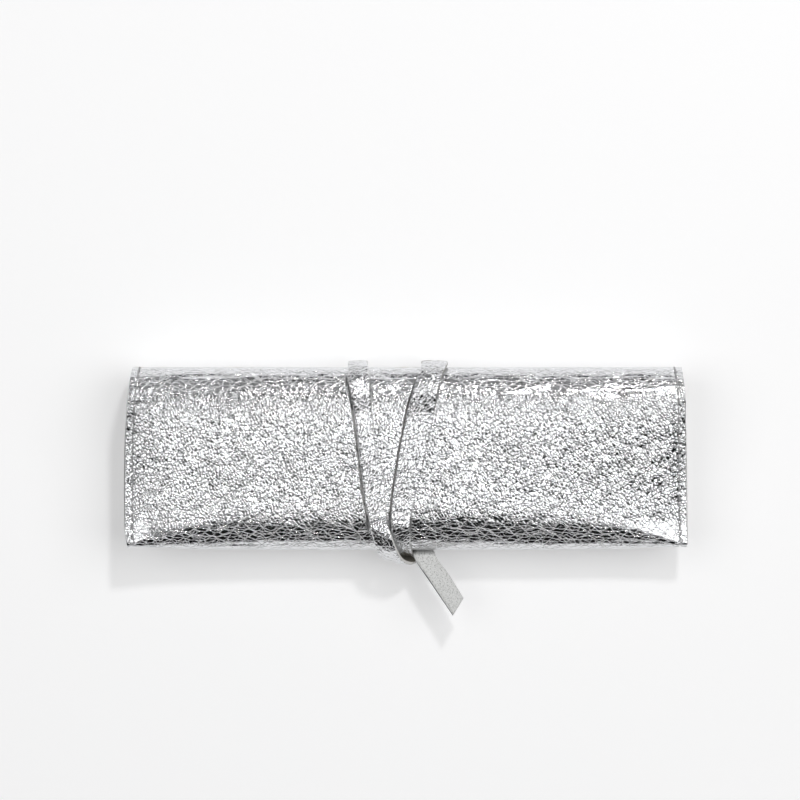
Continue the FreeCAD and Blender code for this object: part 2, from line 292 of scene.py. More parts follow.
def node(nt, kind, **props):
    n = nt.nodes.new(kind)
    for k, v in props.items():
        if k.startswith("in_"):
            key = k[3:]
            n.inputs[int(key) if key.isdigit() else key].default_value = v
        else:
            setattr(n, k, v)
    return n


def hide_uv(nt, scale):
    tc = node(nt, "ShaderNodeUVMap", uv_map="hide")
    mp = node(nt, "ShaderNodeMapping")
    mp.inputs["Scale"].default_value = (scale, scale, scale)
    nt.links.new(tc.outputs[0], mp.inputs[0])
    return mp.outputs[0]


def ramp(nt, src, stops):
    r = node(nt, "ShaderNodeValToRGB")
    e = r.color_ramp.elements
    while len(e) < len(stops):
        e.new(0.5)
    for el, (p, c) in zip(e, stops):
        el.position = p
        el.color = (*c, 1) if len(c) == 3 else c
    nt.links.new(src, r.inputs[0])
    return r.outputs[0]


def total(nt, parts):
    out = parts[0]
    for q in parts[1:]:
        m = node(nt, "ShaderNodeMath", operation="ADD")
        nt.links.new(out, m.inputs[0])
        nt.links.new(q, m.inputs[1])
        out = m.outputs[0]
    return out


def turned(nt, vec, scale, turn, stretch):
    mp = node(nt, "ShaderNodeMapping", vector_type="TEXTURE")          # turns first, then scales
    mp.inputs["Rotation"].default_value = (0, 0, math.radians(turn))
    mp.inputs["Scale"].default_value = (1 / scale, 1 / (scale * stretch), 1 / scale)
    nt.links.new(vec, mp.inputs[0])
    return mp.outputs[0]


def groove(nt, at, width, depth, rand=1.0, wall="SMOOTHSTEP"):
    """A network of fine creases: height in mm, -depth in a crease and 0 away from it."""
    v = node(nt, "ShaderNodeTexVoronoi", feature="DISTANCE_TO_EDGE", voronoi_dimensions="2D", in_Scale=1.0, in_Randomness=rand)
    nt.links.new(at, v.inputs["Vector"])
    mr = node(nt, "ShaderNodeMapRange", interpolation_type=wall)
    mr.inputs["From Max"].default_value = width
    mr.inputs["To Min"].default_value = -depth
    mr.inputs["To Max"].default_value = 0.0
    nt.links.new(v.outputs["Distance"], mr.inputs[0])
    return mr.outputs[0]


def facets(nt, at, tilt, dome, rand=1.0):
    """Each pebble's own lean and crown: height in mm."""
    v = node(nt, "ShaderNodeTexVoronoi", feature="F1", voronoi_dimensions="2D", in_Scale=1.0, in_Randomness=rand)
    nt.links.new(at, v.inputs["Vector"])
    off = node(nt, "ShaderNodeVectorMath", operation="SUBTRACT")
    nt.links.new(at, off.inputs[0])
    nt.links.new(v.outputs["Position"], off.inputs[1])
    lean = node(nt, "ShaderNodeVectorMath", operation="SUBTRACT")
    nt.links.new(v.outputs["Color"], lean.inputs[0])
    lean.inputs[1].default_value = (0.5, 0.5, 0.5)
    dot = node(nt, "ShaderNodeVectorMath", operation="DOT_PRODUCT")
    nt.links.new(off.outputs[0], dot.inputs[0])
    nt.links.new(lean.outputs[0], dot.inputs[1])
    k = node(nt, "ShaderNodeMath", operation="MULTIPLY")
    nt.links.new(dot.outputs["Value"], k.inputs[0])
    k.inputs[1].default_value = tilt
    sq = node(nt, "ShaderNodeMath", operation="POWER")
    nt.links.new(v.outputs["Distance"], sq.inputs[0])
    sq.inputs[1].default_value = 2.0
    dm = node(nt, "ShaderNodeMath", operation="MULTIPLY")
    nt.links.new(sq.outputs[0], dm.inputs[0])
    dm.inputs[1].default_value = -dome
    return total(nt, [k.outputs[0], dm.outputs[0]])


def silver_leather(name, tint=(0.845, 0.85, 0.865), rough=0.09, relief=1.0):
    """Foil-coated grained hide: flat bright pebbles leaning every way, parted by fine crossing creases. Where the hide
    is stretched round a bend, the pebbles are long and shallow."""
    m, nt, b = nodes_of(name)
    at = node(nt, "ShaderNodeAttribute", attribute_name="stretch")
    uv = hide_uv(nt, 100.0)                 # one unit is one millimetre
    worn = node(nt, "ShaderNodeTexNoise", in_Scale=0.16, in_Detail=4.0, in_Roughness=0.6)
    nt.links.new(uv, worn.inputs["Vector"])
    speck = node(nt, "ShaderNodeTexNoise", in_Scale=2.4, in_Detail=3.0, in_Roughness=0.7)
    nt.links.new(uv, speck.inputs["Vector"])
    nt.links.new(ramp(nt, worn.outputs[0], [(0.3, tuple(c * 0.94 for c in tint)), (0.7, tint)]), b.inputs["Base Color"])
    b.inputs["Metallic"].default_value = 1.0
    rr = node(nt, "ShaderNodeMapRange")
    rr.inputs["From Min"].default_value = 0.3
    rr.inputs["From Max"].default_value = 0.7
    rr.inputs["To Min"].default_value = rough - 0.04
    rr.inputs["To Max"].default_value = rough + 0.08
    nt.links.new(speck.outputs[0], rr.inputs[0])
    nt.links.new(rr.outputs[0], b.inputs["Roughness"])
    # creases wander a little, so the networks are read through a soft warp
    wob = node(nt, "ShaderNodeTexNoise", in_Scale=0.30, in_Detail=1.0)
    nt.links.new(uv, wob.inputs["Vector"])
    sc = node(nt, "ShaderNodeVectorMath", operation="SCALE")
    sc.inputs["Scale"].default_value = 1.1
    nt.links.new(wob.outputs["Color"], sc.inputs[0])
    ad = node(nt, "ShaderNodeVectorMath", operation="ADD")
    nt.links.new(uv, ad.inputs[0])
    nt.links.new(sc.outputs[0], ad.inputs[1])
    vec = ad.outputs[0]
    flat = turned(nt, vec, 0.76, 62, 1.38)
    bent = turned(nt, vec, 0.34, 3, 2.4)
    h_flat = total(nt, [facets(nt, flat, 0.27 * relief, 0.035 * relief, 0.72), groove(nt, flat, 0.23, 0.076 * relief, 0.72, wall="LINEAR")])
    h_bent = total(nt, [facets(nt, bent, 0.07 * relief, 0.02 * relief), groove(nt, bent, 0.075, 0.036 * relief), groove(nt, bent, 0.05, 0.02 * relief)])
    mix = node(nt, "ShaderNodeMix", data_type="FLOAT")
    nt.links.new(at.outputs["Fac"], mix.inputs[0])
    nt.links.new(h_flat, mix.inputs[2])
    nt.links.new(h_bent, mix.inputs[3])
    fine = node(nt, "ShaderNodeTexNoise", in_Scale=2.2, in_Detail=2.0, in_Roughness=0.6)
    nt.links.new(uv, fine.inputs["Vector"])
    fh = node(nt, "ShaderNodeMapRange")
    fh.inputs["To Max"].default_value = 0.016 * relief
    nt.links.new(fine.outputs[0], fh.inputs[0])
    height = total(nt, [mix.outputs[0], groove(nt, turned(nt, vec, 0.15, 42, 2.0), 0.040, 0.070 * relief),
                        groove(nt, turned(nt, vec, 0.15, -48, 2.2), 0.040, 0.055 * relief), fh.outputs[0]])
    bump = node(nt, "ShaderNodeBump", in_Strength=1.0)
    bump.inputs["Distance"].default_value = 0.001
    nt.links.new(height, bump.inputs["Height"])
    nt.links.new(bump.outputs[0], b.inputs["Normal"])
    return m


def suede(name, light=(0.76, 0.765, 0.755), dark=(0.53, 0.53, 0.52), speck=0.85):
    """Napped flesh side of the hide: matt grey, mottled and specked."""
    m, nt, b = nodes_of(name)
    uv = hide_uv(nt, 100.0)
    cloud = node(nt, "ShaderNodeTexNoise", in_Scale=1.7, in_Detail=6.0, in_Roughness=0.75)
    nt.links.new(uv, cloud.inputs["Vector"])
    col = ramp(nt, cloud.outputs[0], [(0.3, dark), (0.55, light)])
    spots = node(nt, "ShaderNodeTexNoise", in_Scale=2.6, in_Detail=2.0, in_Roughness=0.5)
    nt.links.new(uv, spots.inputs["Vector"])
    sp = ramp(nt, spots.outputs[0], [(0.57, (0, 0, 0)), (0.66, (speck, speck, speck))])
    mix = node(nt, "ShaderNodeMix", data_type="RGBA")
    nt.links.new(sp, mix.inputs[0])
    nt.links.new(col, mix.inputs[6])
    mix.inputs[7].default_value = (0.17, 0.17, 0.165, 1)
    nt.links.new(mix.outputs[2], b.inputs["Base Color"])
    b.inputs["Roughness"].default_value = 0.92
    b.inputs["Sheen Weight"].default_value = 0.25
    b.inputs["Specular IOR Level"].default_value = 0.25
    fib = node(nt, "ShaderNodeTexNoise", in_Scale=4.5, in_Detail=5.0, in_Roughness=0.75)
    nt.links.new(uv, fib.inputs["Vector"])
    bump = node(nt, "ShaderNodeBump", in_Strength=0.8)
    bump.inputs["Distance"].default_value = 0.00018
    nt.links.new(fib.outputs[0], bump.inputs["Height"])
    nt.links.new(bump.outputs[0], b.inputs["Normal"])
    return m


def raw_edge(name, light=(0.70, 0.66, 0.58), dark=(0.48, 0.45, 0.40)):
    """Cut edge of the hide: pale fibres."""
    m, nt, b = nodes_of(name)
    tc = node(nt, "ShaderNodeTexCoord")
    n = node(nt, "ShaderNodeTexNoise", in_Scale=2600.0, in_Detail=4.0, in_Roughness=0.7)
    nt.links.new(tc.outputs["Object"], n.inputs["Vector"])
    nt.links.new(ramp(nt, n.outputs[0], [(0.35, dark), (0.62, light)]), b.inputs["Base Color"])
    b.inputs["Roughness"].default_value = 0.85
    bump = node(nt, "ShaderNodeBump", in_Strength=0.7)
    bump.inputs["Distance"].default_value = 0.00012
    nt.links.new(n.outputs[0], bump.inputs["Height"])
    nt.links.new(bump.outputs[0], b.inputs["Normal"])
    return m


def thread_mat(name):
    m, nt, b = nodes_of(name)
    uv = hide_uv(nt, 100.0)
    w = node(nt, "ShaderNodeTexWave", wave_type="BANDS", bands_direction="DIAGONAL", in_Scale=1.6, in_Distortion=0.6)
    nt.links.new(uv, w.inputs["Vector"])
    nt.links.new(ramp(nt, w.outputs[0], [(0.1, (0.20, 0.20, 0.21)), (0.7, (0.50, 0.50, 0.50))]), b.inputs["Base Color"])
    b.inputs["Roughness"].default_value = 0.55
    b.inputs["Sheen Weight"].default_value = 0.2
    bump = node(nt, "ShaderNodeBump", in_Strength=0.8)
    bump.inputs["Distance"].default_value = 0.0001
    nt.links.new(w.outputs[0], bump.inputs["Height"])
    nt.links.new(bump.outputs[0], b.inputs["Normal"])
    return m


SILVER = silver_leather("silver_grained_leather")
LACE = silver_leather("silver_lace_leather", tint=(0.84, 0.845, 0.86), rough=0.15, relief=0.80)
FLESH = suede("flesh_side_suede")
# dark brownish copy of the flesh side: painted shade for the hollow inside the lace loop, over a raw brownish tone
FLESH_LOOP_PAINTED_SHADE = suede("flesh_side_loop_painted_shade", light=(0.20, 0.18, 0.14), dark=(0.07, 0.062, 0.05), speck=0.4)
LINE = suede("lining_microfibre", light=(0.50, 0.50, 0.50), dark=(0.42, 0.42, 0.42), speck=0.0)
EDGE = raw_edge("raw_cut_edge")
EDGE_GREY = raw_edge("lace_cut_edge", light=(0.56, 0.55, 0.52), dark=(0.30, 0.295, 0.28))
# lighter copy of the lace's cut edge: painted highlight where the loop's edge faces the light
EDGE_LOOP_PAINTED_HIGHLIGHT = raw_edge("loop_cut_edge_painted_highlight", light=(0.82, 0.81, 0.78), dark=(0.60, 0.59, 0.57))
# near-black copy of the lace's cut edge: painted shade on the tail's edge that faces away from the light
EDGE_TAIL_PAINTED_SHADE = raw_edge("tail_cut_edge_painted_shade", light=(0.13, 0.128, 0.12), dark=(0.05, 0.049, 0.046))
THREAD = thread_mat("seam_thread")

# ---------------------------------------------------------------- back panel with the fold and the upper spine
SEAM_IN, PITCH = 2.4, 3.2
COLS = 613


def columns(n):
    """Even columns, as a share of the length from -1 to 1."""
    return np.linspace(-1, 1, n)


def place(u, y):
    """x of a column at a given y: the ends follow the case's outline."""
    return np.where(u < 0, -u * XL(y), u * XR(y))


def seam_dent(x, y, s):
    """Sewn line sunk along each end, with a hole at each stitch's end."""
    total = np.zeros(x.shape)
    for side, edge in ((-1, XL(y)), (1, XR(y))):
        d = side * (edge - x) * 1.0 - SEAM_IN
        line = np.exp(-(d / 0.42) ** 2)
        ph = (s / PITCH) % 1.0
        hole = np.exp(-(np.minimum(ph, 1 - ph) * PITCH / 0.38) ** 2) * np.exp(-(d / 0.36) ** 2)
        pull = np.exp(-(d / 1.3) ** 2) * 0.10
        total += 0.12 * line + 0.30 * hole + 0.6 * pull
    return total


# where the two windings' edges run, as (y, x) in mm; their places were measured from the reference view
L_l = lut([(31.9, -19.2), (25.7, -19.05), (19.4, -17.65), (7.35, -15.95), (-3.4, -14.7), (-11.9, -13.8), (-20.4, -12.1), (-23.4, -11.8)])
L_r = lut([(32.2, -12.8), (27.6, -12.2), (15.9, -11.45), (5.1, -10.6), (-3.4, -8.15), (-7.0, -7.45), (-17.2, -6.8), (-22.1, -6.1)])
R_l = lut([(32.2, 5.3), (27.9, 4.1), (23.7, 2.8), (16.8, 0.6), (10.0, -0.6), (1.1, -2.5), (-6.05, -3.4), (-9.6, -4.1), (-19.4, -5.1), (-23.4, -4.8)])
R_r = lut([(32.2, 13.75), (29.6, 12.2), (26.3, 10.95), (19.4, 9.65), (12.6, 8.45), (-3.4, 4.95), (-16.2, 1.7), (-22.7, 1.1)])
SINK = 1.02


def strap_dent(x, y):
    """How far the wound lace presses into the stuffed back, in mm. The left edge of each winding stands clear of the
    leather in a narrow groove; the right edge lies close to it."""
    total = np.zeros(np.shape(x))
    for l, r in ((L_l, L_r), (R_l, R_r)):
        left_gap, right_gap = l(y) - x, x - r(y)
        wide = 1.15 if l is L_l else 0.85
        total = np.maximum(total, smooth((wide - left_gap) / 0.9) * smooth((0.2 - right_gap) / 0.65))
    return total * SINK * smooth((29.0 - y) / 8.0) * smooth((y + 27.0) / 7.0)


U = columns(COLS)
xs = U * HALF
cols_yz = [back_column(np.array(float(x))) for x in xs]
Y = np.stack([c[0] for c in cols_yz], axis=1)
Z = np.stack([c[1] for c in cols_yz], axis=1)
rows = Y.shape[0]
keep = rows - (rows - 1) % 4
Y, Z = Y[rows - keep:], Z[rows - keep:]
UU = np.broadcast_to(U, Y.shape)
X = place(UU, Y)
PB = np.stack([X, Y, Z], axis=2)
NB = grid_normals(PB)
PB = PB + NB * (lumps(X, Y) * smooth((Z - 15.0) / 5.0) * 0.7 - strap_dent(X, Y) * (Z > 11.0))[..., None]
NB = grid_normals(PB)
SB = arc_length(PB)
bend = smooth((SB.max() * 0 + 17.5 - SB) / 6.0)          # 1 round the spine, 0 on the flat
low = smooth((SB - 55.5) / 5.0)                           # 1 round the fold
pull = np.clip(0.85 * smooth((28.0 - SB) / 15.0) + 0.92 * low, 0, 1)
down, cr = grain(X, SB + 40.0, pull)
ridge = noise(X / 9.0, SB / 1.5, 81) * 0.10 * low + noise(X / 11.0, SB / 1.7, 82) * 0.12 * smooth((22.0 - SB) / 8.0)
out = down + np.maximum(ridge, -0.04) + seam_dent(X, Y, SB)
back = shell("back_leather", PB, NB, out, LEATHER, [SILVER, EDGE, FLESH], np.stack([X + 100, SB + 100], axis=2), cr)
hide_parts("back_panel", "pocket_fold")
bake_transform(back)

# ---------------------------------------------------------------- pocket's front, under the case
def pocket_rows(x, n):
    cy, cz, _, _, under = fold_of(x)
    zb = cz - under
    t = np.linspace(0, 1, n)
    zm = panel_z(x, (MOUTH_Y - cy) / (YC - cy)) - th(x)
    y = cy + (MOUTH_Y - cy) * t
    tm = (MOUTH_Y - cy) / (YC - cy)
    return y, zb + (zm - zb) * smooth(t) - end_drop(x, (y - cy) / (YC - cy)) + end_drop(x, tm) * smooth(t)


COLS2 = 369
U2 = columns(COLS2)
NR2 = 97
pc = [pocket_rows(np.array(float(x)), NR2) for x in U2 * HALF]
Y = np.stack([c[0] for c in pc], axis=1)[::-1]
Z = np.stack([c[1] for c in pc], axis=1)[::-1]
X = place(np.broadcast_to(U2, Y.shape), Y)
PP = np.stack([X, Y, Z], axis=2)
NP_ = grid_normals(PP)
SP = arc_length(PP)
down, cr = grain(X, SP + 140.0)
pocket = shell("pocket_front_leather", PP, NP_, down + seam_dent(X, Y, SP), LEATHER, [SILVER, EDGE, FLESH],
               np.stack([X + 100, SP + 200], axis=2), cr)
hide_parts("pocket_front")
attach(pocket, "case")

# ---------------------------------------------------------------- flap with the lower spine
def lift_of(x):
    return smooth((x + 36.0) / 12.0) * smooth((32.0 - x) / 12.0)


def flap_column(x, n_arc, n_flat):
    a = np.radians(np.linspace(0, -90, n_arc, endpoint=False))
    y0, z0 = YC + R * np.cos(a), ZC + R * np.sin(a)
    t = np.linspace(0, 1, n_flat)
    y1 = YC + (FLAP_Y - YC) * t
    z1 = np.zeros_like(t)
    y, z = np.concatenate([y0, y1]), np.concatenate([z0, z1])
    k = lift_of(x)
    soft = 0.5 * (z - LIFT + np.sqrt((z - LIFT) ** 2 + 0.25)) + LIFT      # rounded max(z, LIFT)
    return y, z + k * (np.maximum(soft, z) - z)


NA3, NF3 = 40, 97
fc = [flap_column(float(x), NA3, NF3) for x in U2 * HALF]
Y = np.stack([c[0] for c in fc], axis=1)
Z = np.stack([c[1] for c in fc], axis=1)
X = place(np.broadcast_to(U2, Y.shape), np.maximum(Y, 0.0))
PF = np.stack([X, Y, Z], axis=2)
NFL = grid_normals(PF)
SF = np.concatenate([np.zeros((1, COLS2)), np.cumsum(np.linalg.norm(np.diff(PF, axis=0), axis=2), axis=0)])
down, cr = grain(X, 40.0 - SF)
down = np.maximum(down, 0.0) + 0.02
flap = shell("flap_leather_cover", PF, NFL, down + seam_dent(X, Y, -SF) * smooth(SF / 3.0), LEATHER,
             [SILVER, EDGE, FLESH], np.stack([X + 100, 100 - SF], axis=2), cr)
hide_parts("flap_leather", "spine_leather")
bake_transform(flap)


# ---------------------------------------------------------------- linings
def lining(name, P, N, s, every, a=LEATHER + 0.03, b=LINING):
    r = np.arange(0, P.shape[0], every)
    c = np.arange(0, P.shape[1], every)
    P, N, s = P[np.ix_(r, c)], N[np.ix_(r, c)], s[np.ix_(r, c)]
    kr, kc = P.shape[0] - (P.shape[0] - 1) % 2, P.shape[1] - (P.shape[1] - 1) % 2
    P, N, s = P[:kr, :kc], N[:kr, :kc], s[:kr, :kc]
    uv = np.stack([P[..., 0] + 100, s + 100], axis=2)
    return shell(name, P - N * a, N, np.zeros(P.shape[:2]), b - a, [LINE, LINE, LINE], uv, np.zeros(P.shape[:2]), step=2)


o = lining("back_lining_cloth", PB, NB, SB, 3)
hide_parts("back_lining")
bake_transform(o)
o = lining("pocket_lining_cloth", PP, NP_, SP, 3)
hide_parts("pocket_lining")
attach(o, "case")
o = lining("flap_lining_cloth", PF, NFL, SF, 3)
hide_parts("flap_lining", "spine_lining")
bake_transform(o)


# ---------------------------------------------------------------- stitches
def stitch_row(name, P, N, side, s0, s1, sfield, phase=0.0, sink=0.10):
    """Thread stitches along one end of a sheet: each a short tapered capsule that dips into its two holes."""
    cols = P.shape[1]
    edge = P[:, 0] if side < 0 else P[:, -1]
    verts, faces, uv = [], [], []
    ring, seg = 8, 9
    sv = sfield[:, 0] if side < 0 else sfield[:, -1]
    order = np.argsort(sv)
    k0, k1 = math.ceil(s0 / PITCH), math.floor(s1 / PITCH)
    near = np.abs((P[:, :, 0] - edge[:, None, 0]) - (-side) * SEAM_IN).argmin(axis=1)
    line_p = P[np.arange(P.shape[0]), near]
    line_n = N[np.arange(P.shape[0]), near]
    line_s = sfield[np.arange(P.shape[0]), near]
    order = np.argsort(line_s)
    ls, lp, ln = line_s[order], line_p[order], line_n[order]
    at = lambda s, A: np.array([np.interp(s, ls, A[:, i]) for i in range(3)])
    for k in range(k0, k1):
        a, b = k * PITCH + 0.22, (k + 1) * PITCH - 0.22
        base = len(verts)
        for i in range(seg):
            t = i / (seg - 1)
            s = a + (b - a) * t
            p, n = at(s, lp), at(s, ln)
            n = n / np.linalg.norm(n)
            q = at(s + 0.1, lp) - p
            q = q / max(np.linalg.norm(q), 1e-9)
            w = np.cross(q, n)
            rise = -sink + 0.10 * math.sin(math.pi * t) ** 0.6 - 0.30 * (abs(2 * t - 1) ** 6)
            c = p + n * (rise - 0.06)
            rad = 0.24 * (1 - 0.35 * abs(2 * t - 1) ** 3)
            for j in range(ring):
                f = 2 * math.pi * j / ring
                verts.append(c + w * rad * math.cos(f) + n * rad * 0.85 * math.sin(f))
                uv.append((s * 1.0, j / ring * 1.9))
        for i in range(seg - 1):
            for j in range(ring):
                j2 = (j + 1) % ring
                faces.append((base + i * ring + j, base + (i + 1) * ring + j, base + (i + 1) * ring + j2, base + i * ring + j2))
        n0 = len(verts)
        verts.append(np.mean(verts[base:base + ring], axis=0))
        verts.append(np.mean(verts[base + (seg - 1) * ring:base + seg * ring], axis=0))
        uv += [(0, 0), (0, 0)]
        for j in range(ring):
            j2 = (j + 1) % ring
            faces.append((n0, base + j, base + j2, base + j2))
            faces.append((n0 + 1, base + (seg - 1) * ring + j2, base + (seg - 1) * ring + j, base + (seg - 1) * ring + j))
    q = np.array([f for f in faces if len(set(f)) == 4])
    t3 = np.array([f[:3] for f in faces if len(set(f)) == 3])
    return mesh_object(name, np.array(verts), [q, t3], [THREAD], np.zeros(len(q) + len(t3)), np.array(uv))


for side, word in ((-1, "left"), (1, "right")):
    o = stitch_row("back_stitches_" + word, PB, NB, side, 0.0, float(SB[:, 0 if side < 0 else -1].max()) - 5.2, SB)
    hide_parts("seam_thread_" + word)
    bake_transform(o)
    o = stitch_row("pocket_stitches_" + word, PP, NP_, side, 3.0, float(SP[:, 0 if side < 0 else -1].max()) - 2.0, SP)
    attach(o, "case")
    o = stitch_row("flap_stitches_" + word, PF, NFL, side, 0.0, float(SF[:, 0].max()) - 1.0, SF, sink=0.36)
    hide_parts("flap_thread_" + word, "spine_thread_" + word)
    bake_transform(o)


# ---------------------------------------------------------------- lace
LW, LT = 6.4, 1.25


def resample(points, step):
    """Catmull-Rom through the points, at even spacing. points: n x k."""
    P = np.asarray(points, float)
    Q = np.concatenate([[2 * P[0] - P[1]], P, [2 * P[-1] - P[-2]]])
    dense = []
    for i in range(1, len(Q) - 2):
        t = np.linspace(0, 1, 24, endpoint=False)[:, None]
        a, b, c, d = Q[i - 1], Q[i], Q[i + 1], Q[i + 2]
        dense.append(0.5 * ((2 * b) + (-a + c) * t + (2 * a - 5 * b + 4 * c - d) * t ** 2 + (-a + 3 * b - 3 * c + d) * t ** 3))
    dense = np.concatenate(dense + [P[-1:]])
    L = np.concatenate([[0], np.cumsum(np.linalg.norm(np.diff(dense[:, :3], axis=0), axis=1))])
    n = max(8, int(round(L[-1] / step)))
    at = np.linspace(0, L[-1], n + 1)
    return np.stack([np.interp(at, L, dense[:, k]) for k in range(P.shape[1])], axis=1), at


def strap(name, path, across, normal, width, s_off, seed, t=LT, wrinkle=0.0, edge=None, painted_shade_rows=None):
    """Flat leather strip. path: centre of the outer face; across: unit vectors to its right edge; normal: out of its
    silver face; width: full widths. All are arrays with one row per station."""
    n = len(path)
    nt = 21
    v = np.linspace(-1, 1, nt)
    half = (width / 2)[:, None]
    s = np.concatenate([[0], np.cumsum(np.linalg.norm(np.diff(path, axis=0), axis=1))])
    uu, ss = v[None, :] * half, np.broadcast_to(s[:, None], (n, nt))
    down, cr = grain(uu + 20 * seed, ss + s_off, amp=0.9, seed=0)
    round_ = 0.22 * np.clip((np.abs(v)[None, :] - 0.86) / 0.14, 0, 1) ** 2
    crown = 0.10 * (v[None, :] ** 2)
    wr = wrinkle * noise(ss / 1.6 + 7 * seed, uu / 4.0 + 3, 90 + seed) if np.ndim(wrinkle) or wrinkle else 0.0
    top = path[:, None] + across[:, None] * uu[..., None] - normal[:, None] * (down + round_ + crown + wr)[..., None]
    nb = 7
    vb = np.linspace(1, -1, nb)
    bot = path[:, None] + across[:, None] * (vb[None, :] * half)[..., None] - normal[:, None] * t
    # two middle rows on each cut side keep the edge crisp
    side_r = path[:, None] + across[:, None] * half[..., None] * 1.01 - normal[:, None] * np.array([0.45, 0.9])[None, :, None] * t
    side_l = path[:, None] - across[:, None] * half[..., None] * 1.01 - normal[:, None] * np.array([0.9, 0.45])[None, :, None] * t
    ringv = np.concatenate([top, side_r, bot, side_l], axis=1)
    m = ringv.shape[1]
    V = ringv.reshape(-1, 3)
    V[:, 2] = np.maximum(V[:, 2], 0.02)          # nothing goes below what the case lies on
    i = np.arange(n - 1)[:, None] * m + np.arange(m)[None, :]
    j = np.arange(n - 1)[:, None] * m + ((np.arange(m) + 1) % m)[None, :]
    q = np.stack([i, i + m, j + m, j], axis=2).reshape(-1, 4)
    kind = np.zeros(m)
    kind[nt - 1:nt + 2] = 1
    kind[nt + 2:nt + 1 + nb] = 2
    kind[nt + 1 + nb:] = 1
    idx = np.tile(kind, n - 1)
    if painted_shade_rows is not None:                       # stations deep inside the loop: their flesh side gets a dark brownish copy of the suede, painted shade over a raw tone
        idx = np.where((idx == 2) & np.repeat(painted_shade_rows[:-1], m), 3, idx)
    caps = []
    first, last = np.arange(m), np.arange(m) + (n - 1) * m
    c0, c1 = len(V), len(V) + 1
    V = np.concatenate([V, [V[first].mean(axis=0)], [V[last].mean(axis=0)]])
    for k in range(m):
        caps.append((c0, first[k], first[(k + 1) % m]))
        caps.append((c1, last[(k + 1) % m], last[k]))
    idx = np.concatenate([idx, np.ones(len(caps))])
    uring = np.concatenate([uu + 40 * seed + 50, np.full((n, 2), LW / 2 + 40 * seed + 50.5), vb[None, :] * half + 40 * seed + 50,
                            np.full((n, 2), -LW / 2 + 40 * seed + 49.5)], axis=1)
    vring = np.broadcast_to((s + s_off)[:, None], (n, m))
    uv = np.concatenate([np.stack([uring, vring], axis=2).reshape(-1, 2), np.zeros((2, 2))])
    crr = np.concatenate([np.concatenate([cr, np.zeros((n, m - nt))], axis=1).reshape(-1), np.zeros(2)])
    o = mesh_object(name, V, [q, np.array(caps)], [LACE, edge or EDGE_GREY, FLESH, FLESH_LOOP_PAINTED_SHADE], idx, uv, crr)
    return o


def frames(P, radial):
    """Tangent, across and outward normal for a path, from a rough outward direction at each station."""
    T = np.gradient(P, axis=0)
    T /= np.linalg.norm(T, axis=1, keepdims=True)
    Nn = radial - (radial * T).sum(axis=1, keepdims=True) * T
    Nn /= np.linalg.norm(Nn, axis=1, keepdims=True)
    return T, np.cross(T, Nn), Nn


CYF = float(fold_of(np.array(0.0))[0])
CYL, CZL, RF, AF, UF = -18.2, 11.0, 11.0, 12.0, 6.4          # the loop over the fold: its centre, height, reach, depth
G = 0.05                       # lace lies this far off the leather
SLACK = 0.85


def top_height(x, y):
    t = (y - CYF) / (YC - CYF)
    return float(panel_z(np.array(x), np.array(t)) + lumps(np.array([x]), np.array([y]))[0] * 0.7
                 - strap_dent(np.array([x]), np.array([y]))[0])


def spine_part(le, re, a0, a1, n=7):
    """Stations round the spine: angle from a0 to a1, measured up from +Y. Returns rows x, y, z, width."""
    out = []
    for a in np.linspace(a0, a1, n):
        ar = math.radians(a)
        k = smooth(np.array((90 - abs(a)) / 40.0))
        r = R + LT + G + SLACK * float(k)
        y, z = YC + r * math.cos(ar), ZC + r * math.sin(ar)
        yy = min(y, 31.9)
        out.append((0.5 * (le(yy) + re(yy)), y, z, re(yy) - le(yy)))
    return out


def top_part(le, re, ys):
    out = []
    for y in ys:
        x = 0.5 * (float(le(y)) + float(re(y)))
        out.append((x, y, top_height(x, y) + LT + G, float(re(y) - le(y))))
    return out


def fold_part(rows_):
    """rows_: (angle from the top, x, extra radius, width)."""
    out = []
    for a, x, off, w in rows_:
        ar = math.radians(90 + a)
        c, s_ = math.cos(ar), math.sin(ar)
        h = RF if s_ > 0 else UF
        k = (LT + G + off) / math.hypot(c / AF, s_ / h)
        out.append((x, CYL + AF * c + k * c / AF, CZL + h * s_ + k * s_ / h, w))
    return out


def radial_of(P):
    """Rough outward direction: away from the spine's centre, up, or away from the fold's centre."""
    D = np.zeros_like(P)
    for i, (x, y, z) in enumerate(P):
        if y > YC:
            D[i] = (0, y - YC, z - ZC)
        elif y < CYL:
            D[i] = (0, y - CYL, z - CZL)
        else:
            D[i] = (0, 0, 1.0 if z > 11 else -1.0)
    return D / np.linalg.norm(D, axis=1, keepdims=True)


def run(rows_, step=0.33):
    A, _ = resample(rows_, step)
    P, W = A[:, :3], A[:, 3]
    T, across, Nn = frames(P, radial_of(P))
    return P, across, Nn, W


top_ys = [15.0, 9.0, 3.0, -3.0, -9.0, -14.0, -18.5]
# left winding: half way round the spine, over the back, then slack over the fold where it bulges out
rows_ = (spine_part(L_l, L_r, 0, 82) + top_part(L_l, L_r, top_ys)
         + [(-9.0, -22.4, TOP + LT + 0.30, 5.9), (-8.2, -25.4, 23.3, 6.1), (-7.3, -28.4, 22.2, 6.5), (-6.1, -31.6, 19.2, 6.9),
            (-4.2, -34.0, 14.6, 7.0), (-0.8, -34.6, 9.0, 6.8), (2.2, -32.2, 4.2, 6.4), (3.8, -28.4, 1.3, 6.4), (4.4, -25.0, 0.05, 6.4)])
P, across, Nn, W = run(rows_)
wr = 0.16 * smooth((-(P[:, 1]) - 25.0) / 4.0)[:, None]
twist = np.radians(11) * smooth((-P[:, 1] - 22.0) / 5.0)[:, None] * smooth((P[:, 2] - 4.0) / 5.0)[:, None]
across, Nn = across * np.cos(twist) - Nn * np.sin(twist), Nn * np.cos(twist) + across * np.sin(twist)
